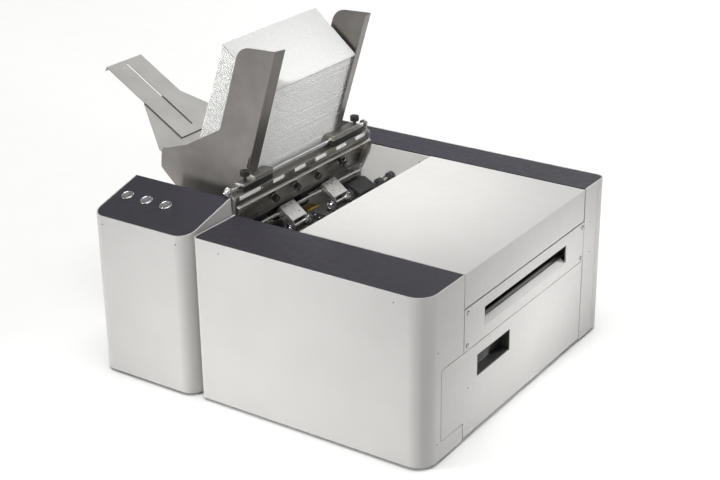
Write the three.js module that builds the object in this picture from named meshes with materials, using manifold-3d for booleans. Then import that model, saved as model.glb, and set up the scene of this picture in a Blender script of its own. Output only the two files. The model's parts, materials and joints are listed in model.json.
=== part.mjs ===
// Tabletop envelope franking and addressing machine with a friction-feed hopper.
// Millimetres, +Z up. While it is built, x = 0 is the right-hand (delivery) face, y = 0 the
// front face and z = 0 the lower edge of the covers; the last lines move the whole machine so
// that its origin is at the bottom centre of its bounding box. Envelopes travel towards +X.

import * as THREE from 'three';
import { mergeVertices } from 'three/addons/utils/BufferGeometryUtils.js';
import Module from 'manifold-3d';

const wasm = await Module();
wasm.setup();

// ---- driving dimensions -------------------------------------------------------------------

const GAP = 0.4;                  // clearance between neighbouring parts
const SHEET = 2.5;                // cover sheet thickness

const BODY_W = 486;               // main body, left side to right side
const BODY_H = 320;               // height of the covers
const FRONT_D = 123;              // depth of the front cover
const REAR_Y = 577.6;             // front edge of the rear cover
const SEAM_Y = 631;               // seam between rear cover and back panel
const BODY_D = 661;               // overall depth of the covers
const FULL_W = 720;               // right side to the left side of the control module
const CORNER_R = 36;              // rounded front right corner
const SMALL_R = 13;               // the other cover corners
const FOOT_H = 6;
const PAN = { z0: 1, z1: 3.5 };     // floor of the base pan

const MODULE_RIGHT = -493;        // right side of the control module
const MODULE_FRONT = -7;          // it stands a little proud of the main front
const MODULE_FRONT_H = 316;
const MODULE_BACK_H = 351;
const PANEL_T = 3;                // dark top plates

const FRAME_Y = [123.4, 574.5];   // near faces of the two side frames
const FRAME_T = 2.5;
const FRAME_RIGHT = -14;

const LID_LEFT = -340;
const LID_BACK = 572.8;
const LID_PIVOT = { y: 570, z: 314 };
const SKIRT_Z = 256;              // lower edge of the lid's right-hand skirt

const SLOT = { y0: 194, y1: 503, z0: 195, z1: 232 };    // delivery slot
const DOOR = { y0: 51, y1: 575, step: 125.3, z0: 4, zStep: 34.5, z1: 171.5 };
const DOOR_PIVOT = { x: -5.5, y: 571 };
const CUP = { y0: 171, y1: 288, z0: 106, z1: 149, depth: 24 };

const DECK_Z = 222;               // top of the paper path
const HOPPER_MID = 350;           // centre line of the hopper
const LEAN = THREE.MathUtils.degToRad(17);         // lean of guides and stack
const GUIDE_TOP = { x: -437, z: 616.5 };           // top of a side guide's front edge
const GUIDE_HALF = 152;           // inner face of a guide from the hopper's centre line
const GUIDE_W = 82;               // horizontal width of a guide blade
const GUIDE_T = 1.6;
const STACK_W = 292;              // envelope length across the hopper
const ENVELOPE_D = 128;           // envelope depth along the feed direction

const FLOOR_SLOPE = THREE.MathUtils.degToRad(24);
const TRAY_SLOPE = THREE.MathUtils.degToRad(31.2);
const BEND = { x: -751.5, z: 361.8 };              // bend line of floor and tray
const TRAY_HALF = 52;
const TRAY_L = 224;

const ROD = { x: -502, z: 359, r: 4.5 };           // polished guide rod
const BAR = { x0: -511, x1: -487, z0: 334, z1: 350 };
const GATE_TOP = { x: -490.2, z: 333 };
const GATE_LEAN = THREE.MathUtils.degToRad(22.9);
const GATE_L = 68;
const SEPARATOR_Y = [262, 331, 400];
const STAR_Y = 482;

const FEED = { x: -549, z: 247, r: 22 };           // feed wheels under the stack
const DRIVE = { x: -483, r: 10 };                  // driven transport rollers
const DRIVE_Z = DECK_Z + 0.5 - DRIVE.r;
const PINCH_R = 12;
const PINCH_Z = DECK_Z + 0.5 + 0.3 + PINCH_R;
const PIVOT = { x: -513, z: 257, r: 4 };           // shaft that carries the pinch brackets
const BRACKETS = { near: 316, far: 457 };
const BRACKET_W = 46;
const EXIT = { x: -19.5, z: 195.5, r: 7 };         // delivery roller
const WHEEL_OFFSET = BRACKET_W / 2 + 7;          // pinch wheel from its bracket's middle
const WHEEL_W = 8;
const BAR_ENDS = [126.4, 573.9];                   // crossbar and rod, end to end
const KNOB_Z = 38;                                 // knobs above the gate's lower edge

const BUTTON = { x: [-690, -643.7, -597.4], along: 72.5, r: 12.4, capR: 9 };
const INLET = { x: -90, z: 55 };                   // power socket on the back panel
const ROCKER = { x: -140, z: 55 };                 // power switch beside it
const FEET = {
  front_left: [-684, 32],
  front_right: [-42, 46],
  rear_left: [-690, 630],
  rear_right: [-30, 630],
};

// ---- materials ----------------------------------------------------------------------------

const finish = (color, roughness, metalness = 0) =>
  new THREE.MeshStandardMaterial({ color, roughness, metalness });

const WHITE = () => finish(0xdedddb, 0.5);
const SLATE = () => finish(0x42404b, 0.45);
const STEEL = () => finish(0xa09d99, 0.35, 0.9);
const BRIGHT = () => finish(0xcfd0d0, 0.15, 1);
const ALU = () => finish(0xc4c2bf, 0.4, 0.8);
const DARK_STEEL = () => finish(0x55534f, 0.45, 0.8);
const BLACK = () => finish(0x151515, 0.5);
const RUBBER = () => finish(0x26262a, 0.8);
const PAPER = () => finish(0xf1f0ee, 0.9);
const BOARD = () => finish(0x1f5b3a, 0.6);

// ---- solid and outline helpers ------------------------------------------------------------

// Turns a closed geometry into a manifold solid.
function solidOf(geometry) {
  const bare = geometry.clone();
  bare.deleteAttribute('normal');
  bare.deleteAttribute('uv');
  const merged = mergeVertices(bare, 1e-4);
  const mesh = new wasm.Mesh({
    numProp: 3,
    vertProperties: new Float32Array(merged.attributes.position.array),
    triVerts: new Uint32Array(merged.index.array),
  });
  return new wasm.Manifold(mesh);
}

function geometryOf(solid) {
  const mesh = solid.getMesh();
  const geometry = new THREE.BufferGeometry();
  geometry.setAttribute('position', new THREE.BufferAttribute(mesh.vertProperties, 3));
  geometry.setIndex(new THREE.BufferAttribute(mesh.triVerts, 1));
  return geometry;
}

const join = (...parts) => geometryOf(parts.map(solidOf).reduce((a, b) => a.add(b)));
const cut = (body, ...tools) =>
  geometryOf(tools.map(solidOf).reduce((a, b) => a.subtract(b), solidOf(body)));

function block(x0, x1, y0, y1, z0, z1) {
  const box = new THREE.BoxGeometry(x1 - x0, y1 - y0, z1 - z0);
  return box.translate((x0 + x1) / 2, (y0 + y1) / 2, (z0 + z1) / 2);
}

// Corners are [x, y] or [x, y, radius]; a radius becomes an arc of short steps.
function outline(corners) {
  const points = [];
  corners.forEach(([x, y, radius = 0], i) => {
    const here = new THREE.Vector2(x, y);
    if (radius === 0) {
      points.push(here);
      return;
    }
    const before = new THREE.Vector2(...corners.at(i - 1).slice(0, 2)).sub(here).normalize();
    const after = new THREE.Vector2(...corners[(i + 1) % corners.length].slice(0, 2))
      .sub(here).normalize();
    const half = Math.acos(THREE.MathUtils.clamp(before.dot(after), -1, 1)) / 2;
    const centre = before.clone().add(after).normalize()
      .multiplyScalar(radius / Math.sin(half)).add(here);
    const start = before.clone().multiplyScalar(radius / Math.tan(half)).add(here).sub(centre);
    const end = after.clone().multiplyScalar(radius / Math.tan(half)).add(here).sub(centre);
    const turn = Math.atan2(start.cross(end), start.dot(end));
    const steps = Math.max(3, Math.ceil(Math.abs(turn) / 0.27));
    for (let k = 0; k <= steps; k += 1) {
      points.push(start.clone().rotateAround(new THREE.Vector2(), turn * k / steps).add(centre));
    }
  });
  return points;
}

// Extrudes an outline along z; holes are cut as solids so that the result is always closed.
function extruded(points, depth, holes = []) {
  const options = { depth, bevelEnabled: false };
  const body = new THREE.ExtrudeGeometry(new THREE.Shape(points), options);
  if (holes.length === 0) {
    return body;
  }
  const tools = holes.map((hole) =>
    new THREE.ExtrudeGeometry(new THREE.Shape(hole), { ...options, depth: depth + 2 })
      .translate(0, 0, -1));
  return cut(body, ...tools);
}

const plateXY = (points, z0, z1, holes) => extruded(points, z1 - z0, holes).translate(0, 0, z0);
const plateXZ = (points, y0, y1, holes) =>
  extruded(points, y1 - y0, holes).rotateX(Math.PI / 2).translate(0, y1, 0);
const plateYZ = (points, x0, x1, holes) => extruded(points, x1 - x0, holes)
  .applyMatrix4(new THREE.Matrix4().makeBasis(
    new THREE.Vector3(0, 1, 0), new THREE.Vector3(0, 0, 1), new THREE.Vector3(1, 0, 0)))
  .translate(x0, 0, 0);

const rectangle = (x0, x1, y0, y1, r = 0) =>
  outline([[x0, y0, r], [x1, y0, r], [x1, y1, r], [x0, y1, r]]);

function circle(x, y, r, steps = 20) {
  const points = [];
  for (let k = 0; k < steps; k += 1) {
    const angle = 2 * Math.PI * k / steps;
    points.push(new THREE.Vector2(x + r * Math.cos(angle), y + r * Math.sin(angle)));
  }
  return points;
}

// Round bars along Y and X, and rings along Y.
const barY = (x, z, r, y0, y1, steps) => plateXZ(circle(x, z, r, steps), y0, y1);
const barX = (y, z, r, x0, x1, steps) => plateYZ(circle(y, z, r, steps), x0, x1);
const ringY = (x, z, rOut, rIn, y0, y1) =>
  plateXZ(circle(x, z, rOut), y0, y1, [circle(x, z, rIn)]);

// Scalloped grip outline of a hand knob.
function grip(r, lobes, scallop) {
  const points = [];
  const steps = lobes * 4;
  for (let k = 0; k < steps; k += 1) {
    const angle = 2 * Math.PI * k / steps;
    const radius = r - scallop * (0.5 - 0.5 * Math.cos(lobes * angle));
    points.push(new THREE.Vector2(radius * Math.cos(angle), radius * Math.sin(angle)));
  }
  return points;
}

// Mirror image in the hopper's centre plane, with its faces still pointing out.
function mirrored(geometry) {
  const copy = geometryOf(solidOf(geometry).mirror([0, 1, 0]));
  return copy.translate(0, 2 * HOPPER_MID, 0);
}

function place(parent, name, geometry, material) {
  const mesh = new THREE.Mesh(geometry, material);
  mesh.name = name;
  parent.add(mesh);
  return mesh;
}

// ---- base, covers and lid -----------------------------------------------------------------

function basePan() {
  const edge = outline([
    [-FULL_W + 3, 3, 34], [-3, 3, 36], [-3, BODY_D - 3, SMALL_R], [-FULL_W + 3, BODY_D - 3, SMALL_R],
  ]);
  const floor = plateXY(edge, PAN.z0, PAN.z1);
  const sideWall = block(-FULL_W, -FULL_W + SHEET, FRONT_D + GAP, REAR_Y - GAP, 0, 219);
  const tie = block(-FULL_W + 1, -FULL_W + 4, FRONT_D + GAP, REAR_Y - GAP, PAN.z0, PAN.z1);
  const groove = block(
    MODULE_RIGHT - 34, -BODY_W + SMALL_R, 0, FRONT_D + GAP, 0, 10);
  return cut(join(floor, sideWall, tie), groove);
}

const foot = (x, y) => plateXY(circle(x, y, 14), -FOOT_H, PAN.z0 - GAP);

// A U of sheet standing on edge, open towards +Y; the radii are its left and right corners.
function wrapU(x0, x1, y0, y1, leftR, rightR, height) {
  const outer = [[x0, y1], [x0, y0, leftR], [x1, y0, rightR], [x1, y1]];
  const inner = [
    [x1 - SHEET, y1], [x1 - SHEET, y0 + SHEET, rightR - SHEET],
    [x0 + SHEET, y0 + SHEET, leftR - SHEET], [x0 + SHEET, y1],
  ];
  return plateXY([...outline(outer), ...outline(inner)], 0, height);
}

function frontCover() {
  const doorOpening = plateYZ(outline([
    [DOOR.y0 - 1.2, DOOR.zStep - 1.2, 7], [FRONT_D + 5, DOOR.zStep - 1.2],
    [FRONT_D + 5, DOOR.z1 + 1.2], [DOOR.y0 - 1.2, DOOR.z1 + 1.2, 7],
  ]), -SHEET - 2, 2);
  return cut(wrapU(-BODY_W, 0, 0, FRONT_D, SMALL_R, CORNER_R, BODY_H), doorOpening);
}

function topPlate(x0, x1, y0, y1, radii) {
  const [frontLeft, frontRight, backRight, backLeft] = radii;
  return plateXY(outline([
    [x0, y0, frontLeft], [x1, y0, frontRight], [x1, y1, backRight], [x0, y1, backLeft],
  ]), BODY_H - PANEL_T - 0.3, BODY_H - 0.3);
}

function rearCover() {
  const side = (x) => block(x, x + SHEET, REAR_Y, SEAM_Y - 0.3, 0, BODY_H);
  const shelf = block(-FULL_W + 1, -1, REAR_Y, SEAM_Y - 0.3, 312, 315);
  const sill = block(-FULL_W + 1, -1, REAR_Y + 2, REAR_Y + 5, 6, 20);
  return join(side(-FULL_W), side(-SHEET), shelf, sill);
}

function backPanel() {
  const outer = [[0, SEAM_Y], [0, BODY_D, 16], [-FULL_W, BODY_D, 16], [-FULL_W, SEAM_Y]];
  const inner = [
    [-FULL_W + SHEET, SEAM_Y], [-FULL_W + SHEET, BODY_D - SHEET, SMALL_R],
    [-SHEET, BODY_D - SHEET, SMALL_R], [-SHEET, SEAM_Y],
  ];
  const shell = plateXY([...outline(outer), ...outline(inner)], 0, BODY_H);
  const through = (points) => plateXZ(points, BODY_D - 6, BODY_D + 3);
  const vents = [];
  for (let k = 0; k < 8; k += 1) {
    const x = -420 + 14 * k;
    vents.push(through(rectangle(x, x + 5, 120, 190)));
  }
  const inlet = through(rectangle(INLET.x - 25, INLET.x + 25, INLET.z - 14, INLET.z + 14));
  const rocker = through(rectangle(ROCKER.x - 10, ROCKER.x + 10, ROCKER.z - 14, ROCKER.z + 14));
  return cut(shell, inlet, rocker, ...vents);
}

// The delivery panel carries a sloping chute below the roller.
function outputPanel() {
  const face = plateYZ(
    rectangle(FRONT_D + 1.8, 575.6, 173, 253), -SHEET, 0,
    [rectangle(SLOT.y0, SLOT.y1, SLOT.z0, SLOT.z1, 2)]);
  const chute = plateXZ(outline([
    [-0.3, SLOT.z0 - 0.3], [-11.5, SLOT.z0 + 8], [-11.5, SLOT.z0 + 5.9], [-SHEET + 0.2, SLOT.z0 - 2],
  ]), SLOT.y0, SLOT.y1);
  return join(face, chute);
}

function lid() {
  const y0 = FRONT_D + 1.4;
  const top = block(LID_LEFT, 0, y0, LID_BACK, BODY_H - 2, BODY_H);
  const skirt = block(-2, 0, y0, LID_BACK, SKIRT_Z, BODY_H);
  const leftLip = block(LID_LEFT, LID_LEFT + 2, y0, LID_BACK, BODY_H - 9, BODY_H);
  const frontLip = block(LID_LEFT, 0, y0, y0 + 2, BODY_H - 9, BODY_H);
  const knuckles = [-320, -185, -50].map((x) => plateYZ(
    circle(LID_PIVOT.y, LID_PIVOT.z, 4.3), x, x + 30, [circle(LID_PIVOT.y, LID_PIVOT.z, 2.4)]));
  return join(top, skirt, leftLip, frontLip, ...knuckles);
}

function sideDoor() {
  const edge = outline([
    [DOOR.y0, DOOR.zStep, 6], [DOOR.step, DOOR.zStep], [DOOR.step, DOOR.z0], [DOOR.y1, DOOR.z0],
    [DOOR.y1, DOOR.z1], [DOOR.y0, DOOR.z1, 6],
  ]);
  const hole = rectangle(CUP.y0, CUP.y1, CUP.z0, CUP.z1);
  const panel = plateYZ(edge, -2, 0, [hole]);
  const knuckles = [20, 125].map((z) => plateXY(
    circle(DOOR_PIVOT.x, DOOR_PIVOT.y, 4), z, z + 30, [circle(DOOR_PIVOT.x, DOOR_PIVOT.y, 2.4)]));
  return join(panel, ...knuckles);
}

function pullCup() {
  const e = GAP;
  const shell = block(-CUP.depth, -0.2, CUP.y0 + e, CUP.y1 - e, CUP.z0 + e, CUP.z1 - e);
  const w = e + 1.6;
  const hollow = block(-CUP.depth + 1.6, 5, CUP.y0 + w, CUP.y1 - w, CUP.z0 + w, CUP.z1 - w);
  return cut(shell, hollow);
}

// ---- power entry --------------------------------------------------------------------------

function powerInlet() {
  const { x, z } = INLET;
  const body = block(x - 24.6, x + 24.6, BODY_D - 24, BODY_D - 0.4, z - 13.6, z + 13.6);
  const socket = plateXZ(outline([
    [x - 12, z - 8], [x + 12, z - 8], [x + 12, z + 3], [x + 7, z + 8], [x - 7, z + 8], [x - 12, z + 3],
  ]), BODY_D - 18, BODY_D + 1);
  const pins = [[-7, -2], [0, 2], [7, -2]].map(([dx, dz]) =>
    block(x + dx - 1, x + dx + 1, BODY_D - 19, BODY_D - 5, z + dz - 2, z + dz + 2));
  return join(cut(body, socket), ...pins);
}

// Rocker in its off position: the lower half stands out.
function powerRocker() {
  const profile = outline([
    [-8, -12, 1], [7.5, -12, 1], [4.5, 0], [7.5, 12, 1], [-8, 12, 1],
  ]);
  return plateYZ(profile, -9, 9);
}

// ---- control module -----------------------------------------------------------------------

const MODULE_SLOPE = Math.atan2(MODULE_BACK_H - MODULE_FRONT_H, FRONT_D - MODULE_FRONT);
const MODULE_SLANT = (FRONT_D - MODULE_FRONT) / Math.cos(MODULE_SLOPE);

function moduleShell() {
  const shell = wrapU(-FULL_W, MODULE_RIGHT, MODULE_FRONT, FRONT_D, 26, 32, MODULE_BACK_H + 5);
  const above = block(-FULL_W - 5, MODULE_RIGHT + 5, -20, 160, 0, 80)
    .rotateX(MODULE_SLOPE).translate(0, MODULE_FRONT, MODULE_FRONT_H);
  return cut(shell, above);
}

// In the sloping top's own frame: y runs up the slope and z stands square to it.
function controlPanel() {
  const inset = SHEET + 0.3;
  const edge = outline([
    [-FULL_W + inset, inset, 24.5], [MODULE_RIGHT - inset, inset, 30.5],
    [MODULE_RIGHT - inset, MODULE_SLANT - 1.6], [-FULL_W + inset, MODULE_SLANT - 1.6],
  ]);
  const holes = BUTTON.x.map((x) => circle(x, BUTTON.along, 11.2));
  return plateXY(edge, -PANEL_T - 0.2, -0.2, holes);
}

// Three round bezels on the strip that holds them from below.
function buttonCarrier() {
  const strip = block(
    BUTTON.x[0] - 16, BUTTON.x[2] + 16, BUTTON.along - 14, BUTTON.along + 14, -20, -17);
  const barrels = BUTTON.x.map((x) => plateXY(circle(x, BUTTON.along, 10.8), -20, 1));
  const rims = BUTTON.x.map((x) => plateXY(circle(x, BUTTON.along, BUTTON.r), 0.2, 2));
  const bores = BUTTON.x.map((x) => plateXY(circle(x, BUTTON.along, 9.4), -30, 5));
  return cut(join(strip, ...barrels, ...rims), ...bores);
}

const buttonCap = (x) => plateXY(circle(x, BUTTON.along, BUTTON.capR), -16, 1.2);

// ---- side frames, deck and drive ----------------------------------------------------------

const bearing = (y0, y1, x, z, rOut, rIn) => ringY(x, z, rOut, rIn, y0, y1);

function sideFrame(y, bossFrom, leftHeight) {
  const plate = plateXZ(outline([
    [-FULL_W + 4, 12], [FRAME_RIGHT, 12], [FRAME_RIGHT, 300], [LID_LEFT - 3, 300],
    [LID_LEFT - 3, 317], [MODULE_RIGHT - 2, 317], [MODULE_RIGHT - 2, leftHeight],
    [-FULL_W + 4, leftHeight],
  ]), y, y + FRAME_T, [circle(FEED.x, FEED.z, 7.5)]);
  return join(
    plate,
    bearing(bossFrom, bossFrom + 6.5, FEED.x, FEED.z, 13, 6.5),
    bearing(bossFrom, bossFrom + 6.5, DRIVE.x, DRIVE_Z, 6.4, 4.4),
    bearing(bossFrom, bossFrom + 6.5, EXIT.x, EXIT.z, 5, 3.4));
}

function transportDeck() {
  const rollerSlots = pinchWheelPlanes().map((y) => rectangle(DRIVE.x - 10, DRIVE.x + 10, y - 6, y + 6));
  const printWindow = rectangle(-232, -152, 165, 425, 4);
  return plateXY(
    rectangle(-FULL_W + 0.3, -36, 126.3, 574), DECK_Z - 2.5, DECK_Z, [...rollerSlots, printWindow]);
}

// Middle planes of the four pinch wheels, and so of the driven rollers below them.
function pinchWheelPlanes() {
  return Object.values(BRACKETS).flatMap((y) => [y - WHEEL_OFFSET, y + WHEEL_OFFSET]);
}

function transportRoller() {
  const shaft = barY(DRIVE.x, DRIVE_Z, 4, 126.6, 573.8);
  const rollers = pinchWheelPlanes().map((y) => barY(DRIVE.x, DRIVE_Z, DRIVE.r, y - 5, y + 5));
  return join(shaft, ...rollers);
}

function feedRoller() {
  const shaft = barY(FEED.x, FEED.z, 6, 100, 573.8);
  const wheels = SEPARATOR_Y.map((y) => barY(FEED.x, FEED.z, FEED.r, y - 12, y + 12, 32));
  return join(shaft, ...wheels);
}

function exitRoller() {
  const journal = barY(EXIT.x, EXIT.z, 3, 126.6, 573.8);
  const sleeve = barY(EXIT.x, EXIT.z, EXIT.r, SLOT.y0 + 3, SLOT.y1 - 3);
  return join(journal, sleeve);
}

function feedMotor() {
  const half = 28.5;
  const can = plateXZ(rectangle(FEED.x - half, FEED.x + half, FEED.z - half, FEED.z + half, 5), 36, 110);
  const nose = barY(FEED.x, FEED.z, 19, 109, 112);
  return cut(join(can, nose), barY(FEED.x, FEED.z, 6.6, 92, 120));
}

// ---- pinch brackets -----------------------------------------------------------------------

function pinchBracket(y) {
  const arm = new THREE.Vector2(DRIVE.x - PIVOT.x, PINCH_Z - PIVOT.z);
  const angle = -Math.atan2(arm.y, arm.x);
  const reach = arm.length();
  // In the arm's own frame: x runs from the pivot to the wheel axle and z stands square to it.
  const ear = (y0) => plateXZ(
    outline([
      [-7, -7, 6.5], [7, -7, 6.5], [8, 5], [reach - 9, 5], [reach - 6, -6, 5.5],
      [reach + 6, -6, 5.5], [reach + 6, 5, 5], [reach - 6, 12], [-7, 12],
    ]),
    y0, y0 + 2.4, [circle(0, 0, 4.5), circle(reach, 0, 3.5)]);
  const plate = cut(
    block(-7, reach - 6, y - BRACKET_W / 2, y + BRACKET_W / 2, 9.5, 12),
    ...[-10, 10].map((dy) => plateXY(circle(-2, y + dy, 2.2, 12), 5, 15)));
  const raw = join(plate, ear(y - BRACKET_W / 2), ear(y + BRACKET_W / 2 - 2.4));
  return raw.rotateY(angle).translate(PIVOT.x, 0, PIVOT.z);
}

function pinchRollers(y) {
  const wheel = (at) => barY(DRIVE.x, PINCH_Z, PINCH_R, at - WHEEL_W / 2, at + WHEEL_W / 2);
  const end = WHEEL_OFFSET + WHEEL_W / 2 + 2;
  return join(
    barY(DRIVE.x, PINCH_Z, 3, y - end, y + end),
    wheel(y - WHEEL_OFFSET), wheel(y + WHEEL_OFFSET));
}

// ---- crossbar, rod, carriers and side guides ----------------------------------------------

function crossbar() {
  const bar = block(BAR.x0, BAR.x1, BAR_ENDS[0], BAR_ENDS[1], BAR.z0, BAR.z1);
  const cheek = (y0) => plateXZ(
    outline([[-518, 296, 13], [-486, 296, 13], [-486, 368, 6], [-514, 368, 6], [-518, 340]]),
    y0, y0 + 4, [circle(ROD.x, ROD.z, ROD.r + GAP)]);
  return join(bar, cheek(BAR_ENDS[0]), cheek(BAR_ENDS[1] - 4));
}

const guideRod = () => barY(ROD.x, ROD.z, ROD.r, BAR_ENDS[0] + 0.6, BAR_ENDS[1] - 0.6);
const rulerStrip = () => block(BAR.x1 + 0.3, BAR.x1 + 2.5, 138, 562, 338, 350.5);

function carrier(y0, y1) {
  const profile = outline([[-510, 350.6], [-488, 350.6], [-488, 366], [-494, 372], [-510, 372]]);
  return plateXZ(profile, y0, y1, [circle(ROD.x, ROD.z, ROD.r + GAP)]);
}

function clampKnob(y) {
  const stem = plateXY(circle(0, 0, 3.2, 16), 0, 5);
  const head = plateXY(grip(9, 12, 1.6), 4, 16);
  return join(stem, head).translate(-499, y, 372.3);
}

const guideFront = (z) => GUIDE_TOP.x - (GUIDE_TOP.z - z) * Math.tan(LEAN);

// Near-side guide: a leaning blade with a front flange and a lower wing that flares outwards.
function nearGuide() {
  const inner = HOPPER_MID - GUIDE_HALF;
  const crease = [new THREE.Vector3(-504, 0, 405), new THREE.Vector3(-714, 0, 381)];
  const blade = plateXZ(outline([
    [guideFront(405), 405], [GUIDE_TOP.x, GUIDE_TOP.z],
    [GUIDE_TOP.x - GUIDE_W + 1, GUIDE_TOP.z - 3, 32], [guideFront(446) - GUIDE_W, 446, 12],
    [-657, 399], [-714, 381],
  ]), inner - GUIDE_T, inner);
  const wing = plateXZ(outline([
    [-504, 406.5], [-714, 382.5], [-718, 371], [-718, 344, 6], [-677, 310, 16], [-640, 299, 8],
    [-560, 299, 8], [-524, 326],
  ]), inner - GUIDE_T, inner);
  const hinge = crease[1].clone().sub(crease[0]).normalize();
  wing.translate(-crease[0].x, -inner, -crease[0].z)
    .applyMatrix4(new THREE.Matrix4().makeRotationAxis(hinge, THREE.MathUtils.degToRad(6)))
    .translate(crease[0].x, inner, crease[0].z);
  const low = 374;
  const flange = block(0, GUIDE_T, -GUIDE_T, 24, 0, (GUIDE_TOP.z - low) / Math.cos(LEAN))
    .rotateZ(-0.16).rotateY(LEAN).translate(guideFront(low), inner, low + 0.5);
  return join(blade, wing, flange);
}

// ---- hopper floor, support tray and stack -------------------------------------------------

const floorZ = (x) => BEND.z - (x - BEND.x) * Math.tan(FLOOR_SLOPE);

function hopperFloor() {
  const t = 2;
  const [y0, y1] = [HOPPER_MID - 122, HOPPER_MID + 122];
  const end = -576;
  const floor = plateXZ(outline([
    [BEND.x, BEND.z], [end, floorZ(end)], [end, floorZ(end) - t], [BEND.x, BEND.z - t],
  ]), y0, y1);
  const rise = 112;
  const wide = plateXY(outline([
    [1, y0], [1, y1], [-rise, HOPPER_MID + TRAY_HALF], [-rise, HOPPER_MID - TRAY_HALF],
  ]), -t, 0).rotateY(TRAY_SLOPE).translate(BEND.x, 0, BEND.z);
  const web = (y) => plateXZ(outline([
    [-742, floorZ(-742) - 1], [-600, floorZ(-600) - 1], [-600, DECK_Z + GAP], [-700, DECK_Z + GAP],
  ]), y, y + 2.5);
  return join(floor, wide, web(y0 + 8), web(y1 - 10.5));
}

// In the tray's own frame: -x runs up the slope.
function supportTray() {
  const plate = plateXY(
    rectangle(-TRAY_L, -3, HOPPER_MID - TRAY_HALF, HOPPER_MID + TRAY_HALF), 0.4, 2.4,
    [rectangle(-TRAY_L + 8, -22, HOPPER_MID - 2.6, HOPPER_MID + 2.6, 2.5)]);
  const lip = block(
    -TRAY_L, -TRAY_L + 2, HOPPER_MID - TRAY_HALF, HOPPER_MID + TRAY_HALF, -7, 2.4);
  return join(plate, lip);
}

function envelopeStack() {
  const clear = 0.8;
  const leadX = -543.6;
  const leadZ = floorZ(leadX) + clear;
  const tail = [leadX - ENVELOPE_D * Math.cos(FLOOR_SLOPE), leadZ + ENVELOPE_D * Math.sin(FLOOR_SLOPE)];
  const topLead = [guideFront(529.6) - clear, 529.6];
  return plateXZ(
    outline([[leadX - clear, leadZ], topLead, [-560.3, 612.5], tail]),
    HOPPER_MID - STACK_W / 2, HOPPER_MID + STACK_W / 2);
}

// ---- gate and separators (in the gate's own frame: z up the plate, x square to it) ----------

function gatePlate() {
  const [y0, y1] = [131, 569];
  const slots = SEPARATOR_Y.map((y) => rectangle(y - 2.8, y + 2.8, KNOB_Z - 12, KNOB_Z + 12));
  const holes = [160, 530].flatMap((y) => [12, 56].map((z) => circle(y, z, 2.2, 12)));
  return plateYZ(
    rectangle(y0, y1, 0, GATE_L), -2, 0, [...slots, ...holes, circle(STAR_Y, KNOB_Z + 4, 4, 16)]);
}

function separator(y) {
  const finger = block(-12, -2.6, y - 9, y + 9, 4, 52);
  const tip = plateXZ(outline([[-12, 5], [-2.6, 5], [-2.6, -1], [-7, -4, 2], [-12, -1]]), y - 7, y + 7);
  const stud = barX(y, KNOB_Z, 2, -3, 9.5, 16);
  return join(finger, tip, stud);
}

function separatorKnob(y) {
  const head = plateYZ(grip(7.5, 10, 1.1), 2.6, 13);
  head.translate(0, y, KNOB_Z);
  const washer = barX(y, KNOB_Z, 5, 0.4, 3);
  return cut(join(head, washer), barX(y, KNOB_Z, 2.5, -2, 10.5, 16));
}

function starKnob() {
  const head = plateYZ(grip(11, 5, 4.2), 5, 14).translate(0, STAR_Y, KNOB_Z + 4);
  const stem = barX(STAR_Y, KNOB_Z + 4, 3.4, -8, 6, 16);
  return join(head, stem);
}

// ---- print engine -------------------------------------------------------------------------

function printHead() {
  const housing = plateYZ(outline([
    [160, 240, 4], [430, 240, 4], [430, 292, 10], [160, 292, 10],
  ]), -290, -130);
  return join(housing, block(-218, -166, 175, 415, 226, 241));
}

// Four ink tanks standing in one tray behind the side door.
function inkTankRack() {
  const tray = block(-140, -30, 150, 430, 8, 14);
  const tanks = [];
  for (let k = 0; k < 4; k += 1) {
    const y0 = 154 + k * 69;
    tanks.push(plateYZ(rectangle(y0, y0 + 62, 12, 150, 6), -134, -36));
    tanks.push(plateXY(circle(-85, y0 + 31, 9, 16), 149, 158));
  }
  return join(tray, ...tanks);
}

function powerSupply() {
  const can = block(-470, -290, 160, 280, 8, 78);
  const fins = [];
  for (let k = 0; k < 6; k += 1) {
    fins.push(block(-460 + 28 * k, -450 + 28 * k, 170, 270, 77, 84));
  }
  return join(can, ...fins);
}

function controlBoard() {
  const board = block(-708, -600, 100, 102, 40, 220);
  const chips = [[-690, 70], [-650, 110], [-690, 150]].map(([x, z]) =>
    block(x, x + 26, 95, 100.5, z, z + 26));
  const sockets = block(-705, -605, 90, 100.5, 195, 212);
  return join(board, sockets, ...chips);
}

// ---- assembly -----------------------------------------------------------------------------

const machine = new THREE.Group();

place(machine, 'base_pan', basePan(), STEEL());
for (const [where, [x, y]] of Object.entries(FEET)) {
  place(machine, `foot_${where}`, foot(x, y), RUBBER());
}
place(machine, 'front_cover', frontCover(), WHITE());
place(machine, 'front_top_plate',
  topPlate(-BODY_W + SHEET + 0.3, -SHEET - 0.3, SHEET + 0.3, FRONT_D, [10, 33, 0, 0]), SLATE());
place(machine, 'rear_cover', rearCover(), WHITE());
place(machine, 'rear_top_plate',
  topPlate(-FULL_W + SHEET + 0.3, -SHEET - 0.3, REAR_Y, BODY_D - SHEET - 0.3, [0, 0, 12, 12]), SLATE());
place(machine, 'back_panel', backPanel(), WHITE());
place(machine, 'output_panel', outputPanel(), WHITE());
place(machine, 'lid', lid(), WHITE());
place(machine, 'lid_hinge_pin', barX(LID_PIVOT.y, LID_PIVOT.z, 2, -336, -4, 16), BRIGHT());
place(machine, 'side_door', sideDoor(), WHITE());
place(machine, 'door_hinge_pin',
  plateXY(circle(DOOR_PIVOT.x, DOOR_PIVOT.y, 2, 16), 5, 168), BRIGHT());
place(machine, 'door_pull_cup', pullCup(), SLATE());
place(machine, 'power_inlet', powerInlet(), BLACK());
const rocker = place(machine, 'power_rocker', powerRocker(), BLACK());
rocker.position.set(ROCKER.x, BODY_D - 9, ROCKER.z);
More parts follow.
